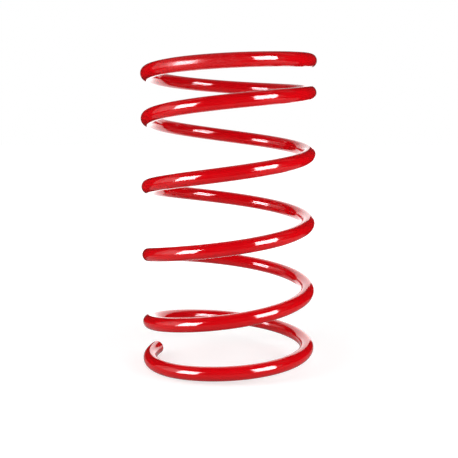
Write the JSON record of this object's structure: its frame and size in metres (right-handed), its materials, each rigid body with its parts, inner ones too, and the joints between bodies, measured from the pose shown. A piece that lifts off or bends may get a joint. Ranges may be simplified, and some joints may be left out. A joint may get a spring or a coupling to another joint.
{
  "type": "coil spring",
  "caption": "Right-hand helical compression spring of round bar for a car's suspension, with close-pitched open ends and a wide, even pitch between them.",
  "frame": {"origin": "on the coil's axis, level with the spring's lowest point", "axes": "+Z along the coil's axis, from the lower seat to the upper; -Y is the front; the lower cut tip is at the left and back"},
  "size_m": [0.1528, 0.1528, 0.2739],
  "materials": {
    "powder_coated_bar": "gloss red powder coat over round spring-steel bar"
  },
  "bodies": {
    "bottom_tail": {"bottom_tail": "powder_coated_bar"},
    "coil_1_front": {"coil_1_front": "powder_coated_bar"},
    "coil_1_right": {"coil_1_right": "powder_coated_bar"},
    "coil_1_back": {"coil_1_back": "powder_coated_bar"},
    "coil_1_left": {"coil_1_left": "powder_coated_bar"},
    "coil_2_front": {"coil_2_front": "powder_coated_bar"},
    "coil_2_right": {"coil_2_right": "powder_coated_bar"},
    "coil_2_back": {"coil_2_back": "powder_coated_bar"},
    "coil_2_left": {"coil_2_left": "powder_coated_bar"},
    "coil_3_front": {"coil_3_front": "powder_coated_bar"},
    "coil_3_right": {"coil_3_right": "powder_coated_bar"},
    "coil_3_back": {"coil_3_back": "powder_coated_bar"},
    "coil_3_left": {"coil_3_left": "powder_coated_bar"},
    "coil_4_front": {"coil_4_front": "powder_coated_bar"},
    "coil_4_right": {"coil_4_right": "powder_coated_bar"},
    "coil_4_back": {"coil_4_back": "powder_coated_bar"},
    "coil_4_left": {"coil_4_left": "powder_coated_bar"},
    "coil_5_front": {"coil_5_front": "powder_coated_bar"},
    "coil_5_right": {"coil_5_right": "powder_coated_bar"},
    "coil_5_back": {"coil_5_back": "powder_coated_bar"},
    "coil_5_left": {"coil_5_left": "powder_coated_bar"},
    "coil_6_front": {"coil_6_front": "powder_coated_bar"},
    "top_tail": {"top_tail": "powder_coated_bar"}
  },
  "joints": [
    {"name": "coil_1_front_twist", "type": "hinge", "parent": "bottom_tail", "child": "coil_1_front", "pos_m": [-0.04971, -0.04971, 0.00684], "axis": [-0.7065, 0.7065, -0.0406], "range_deg": [0, 1.31], "stiffness_Nm_per_rad": 93},
    {"name": "coil_1_right_twist", "type": "hinge", "parent": "coil_1_front", "child": "coil_1_right", "pos_m": [0.04971, -0.04971, 0.01262], "axis": [-0.706, -0.706, -0.0548], "range_deg": [0, 1.98], "stiffness_Nm_per_rad": 140},
    {"name": "coil_1_back_twist", "type": "hinge", "parent": "coil_1_right", "child": "coil_1_back", "pos_m": [0.04971, 0.04971, 0.01998], "axis": [0.7047, -0.7047, -0.0819], "range_deg": [0, 4.14], "stiffness_Nm_per_rad": 200},
    {"name": "coil_1_left_twist", "type": "hinge", "parent": "coil_1_back", "child": "coil_1_left", "pos_m": [-0.04971, 0.04971, 0.03111], "axis": [0.7022, 0.7022, -0.1178], "range_deg": [0, 6.54], "stiffness_Nm_per_rad": 200},
    {"name": "coil_2_front_twist", "type": "hinge", "parent": "coil_1_left", "child": "coil_2_front", "pos_m": [-0.04971, -0.04971, 0.04547], "axis": [-0.7007, 0.7007, -0.1346], "range_deg": [0, 8.18], "stiffness_Nm_per_rad": 200},
    {"name": "coil_2_right_twist", "type": "hinge", "parent": "coil_2_front", "child": "coil_2_right", "pos_m": [0.04971, -0.04971, 0.06047], "axis": [-0.7007, -0.7007, -0.1346], "range_deg": [0, 9.22], "stiffness_Nm_per_rad": 200},
    {"name": "compression", "type": "hinge", "parent": "coil_2_right", "child": "coil_2_back", "pos_m": [0.04971, 0.04971, 0.07547], "axis": [0.7007, -0.7007, -0.1346], "range_deg": [0, 9.42], "stiffness_Nm_per_rad": 200},
    {"name": "coil_2_left_twist", "type": "hinge", "parent": "coil_2_back", "child": "coil_2_left", "pos_m": [-0.04971, 0.04971, 0.09047], "axis": [0.7007, 0.7007, -0.1346], "range_deg": [0, 9.09], "stiffness_Nm_per_rad": 200},
    {"name": "coil_3_front_twist", "type": "hinge", "parent": "coil_2_left", "child": "coil_3_front", "pos_m": [-0.04971, -0.04971, 0.10547], "axis": [-0.7007, 0.7007, -0.1346], "range_deg": [0, 9.02], "stiffness_Nm_per_rad": 200},
    {"name": "coil_3_right_twist", "type": "hinge", "parent": "coil_3_front", "child": "coil_3_right", "pos_m": [0.04971, -0.04971, 0.12047], "axis": [-0.7007, -0.7007, -0.1346], "range_deg": [0, 9.3], "stiffness_Nm_per_rad": 200},
    {"name": "coil_3_back_twist", "type": "hinge", "parent": "coil_3_right", "child": "coil_3_back", "pos_m": [0.04971, 0.04971, 0.13547], "axis": [0.7007, -0.7007, -0.1346], "range_deg": [0, 9.38], "stiffness_Nm_per_rad": 200},
    {"name": "coil_3_left_twist", "type": "hinge", "parent": "coil_3_back", "child": "coil_3_left", "pos_m": [-0.04971, 0.04971, 0.15047], "axis": [0.7007, 0.7007, -0.1346], "range_deg": [0, 9.09], "stiffness_Nm_per_rad": 200},
    {"name": "coil_4_front_twist", "type": "hinge", "parent": "coil_3_left", "child": "coil_4_front", "pos_m": [-0.04971, -0.04971, 0.16547], "axis": [-0.7007, 0.7007, -0.1346], "range_deg": [0, 9.02], "stiffness_Nm_per_rad": 200},
    {"name": "coil_4_right_twist", "type": "hinge", "parent": "coil_4_front", "child": "coil_4_right", "pos_m": [0.04971, -0.04971, 0.18047], "axis": [-0.7007, -0.7007, -0.1346], "range_deg": [0, 9.3], "stiffness_Nm_per_rad": 200},
    {"name": "coil_4_back_twist", "type": "hinge", "parent": "coil_4_right", "child": "coil_4_back", "pos_m": [0.04971, 0.04971, 0.19547], "axis": [0.7007, -0.7007, -0.1346], "range_deg": [0, 9.14], "stiffness_Nm_per_rad": 200},
    {"name": "coil_4_left_twist", "type": "hinge", "parent": "coil_4_back", "child": "coil_4_left", "pos_m": [-0.04971, 0.04971, 0.21024], "axis": [0.7012, 0.7012, -0.1288], "range_deg": [0, 8.24], "stiffness_Nm_per_rad": 200},
    {"name": "coil_5_front_twist", "type": "hinge", "parent": "coil_4_left", "child": "coil_5_front", "pos_m": [-0.04971, -0.04971, 0.22386], "axis": [-0.7024, 0.7024, -0.115], "range_deg": [0, 7], "stiffness_Nm_per_rad": 200},
    {"name": "coil_5_right_twist", "type": "hinge", "parent": "coil_5_front", "child": "coil_5_right", "pos_m": [0.04971, -0.04971, 0.23563], "axis": [-0.7038, -0.7038, -0.0966], "range_deg": [0, 5.45], "stiffness_Nm_per_rad": 200},
    {"name": "coil_5_back_twist", "type": "hinge", "parent": "coil_5_right", "child": "coil_5_back", "pos_m": [0.04971, 0.04971, 0.24527], "axis": [0.705, -0.705, -0.0775], "range_deg": [0, 4.09], "stiffness_Nm_per_rad": 200},
    {"name": "coil_5_left_twist", "type": "hinge", "parent": "coil_5_back", "child": "coil_5_left", "pos_m": [-0.04971, 0.04971, 0.25291], "axis": [0.7058, 0.7058, -0.0614], "range_deg": [0, 3.17], "stiffness_Nm_per_rad": 200},
    {"name": "coil_6_front_twist", "type": "hinge", "parent": "coil_5_left", "child": "coil_6_front", "pos_m": [-0.04971, -0.04971, 0.25911], "axis": [-0.7061, 0.7061, -0.0521], "range_deg": [0, 1.69], "stiffness_Nm_per_rad": 120},
    {"name": "top_tail_twist", "type": "hinge", "parent": "coil_6_front", "child": "top_tail", "pos_m": [0.04971, -0.04971, 0.26477], "axis": [-0.7062, -0.7062, -0.0511], "range_deg": [0, 0.818], "stiffness_Nm_per_rad": 58}
  ],
  "couplings": [
    {"joint": "coil_1_front_twist", "follows": "compression", "ratio": 0.1395},
    {"joint": "coil_1_right_twist", "follows": "compression", "ratio": 0.21007},
    {"joint": "coil_1_back_twist", "follows": "compression", "ratio": 0.4401},
    {"joint": "coil_1_left_twist", "follows": "compression", "ratio": 0.69435},
    {"joint": "coil_2_front_twist", "follows": "compression", "ratio": 0.86877},
    {"joint": "coil_2_right_twist", "follows": "compression", "ratio": 0.97871},
    {"joint": "coil_2_left_twist", "follows": "compression", "ratio": 0.96481},
    {"joint": "coil_3_front_twist", "follows": "compression", "ratio": 0.9575},
    {"joint": "coil_3_right_twist", "follows": "compression", "ratio": 0.98784},
    {"joint": "coil_3_back_twist", "follows": "compression", "ratio": 0.99556},
    {"joint": "coil_3_left_twist", "follows": "compression", "ratio": 0.96454},
    {"joint": "coil_4_front_twist", "follows": "compression", "ratio": 0.958},
    {"joint": "coil_4_right_twist", "follows": "compression", "ratio": 0.9877},
    {"joint": "coil_4_back_twist", "follows": "compression", "ratio": 0.97066},
    {"joint": "coil_4_left_twist", "follows": "compression", "ratio": 0.87512},
    {"joint": "coil_5_front_twist", "follows": "compression", "ratio": 0.74288},
    {"joint": "coil_5_right_twist", "follows": "compression", "ratio": 0.57875},
    {"joint": "coil_5_back_twist", "follows": "compression", "ratio": 0.43431},
    {"joint": "coil_5_left_twist", "follows": "compression", "ratio": 0.33679},
    {"joint": "coil_6_front_twist", "follows": "compression", "ratio": 0.17977},
    {"joint": "top_tail_twist", "follows": "compression", "ratio": 0.08682}
  ]
}
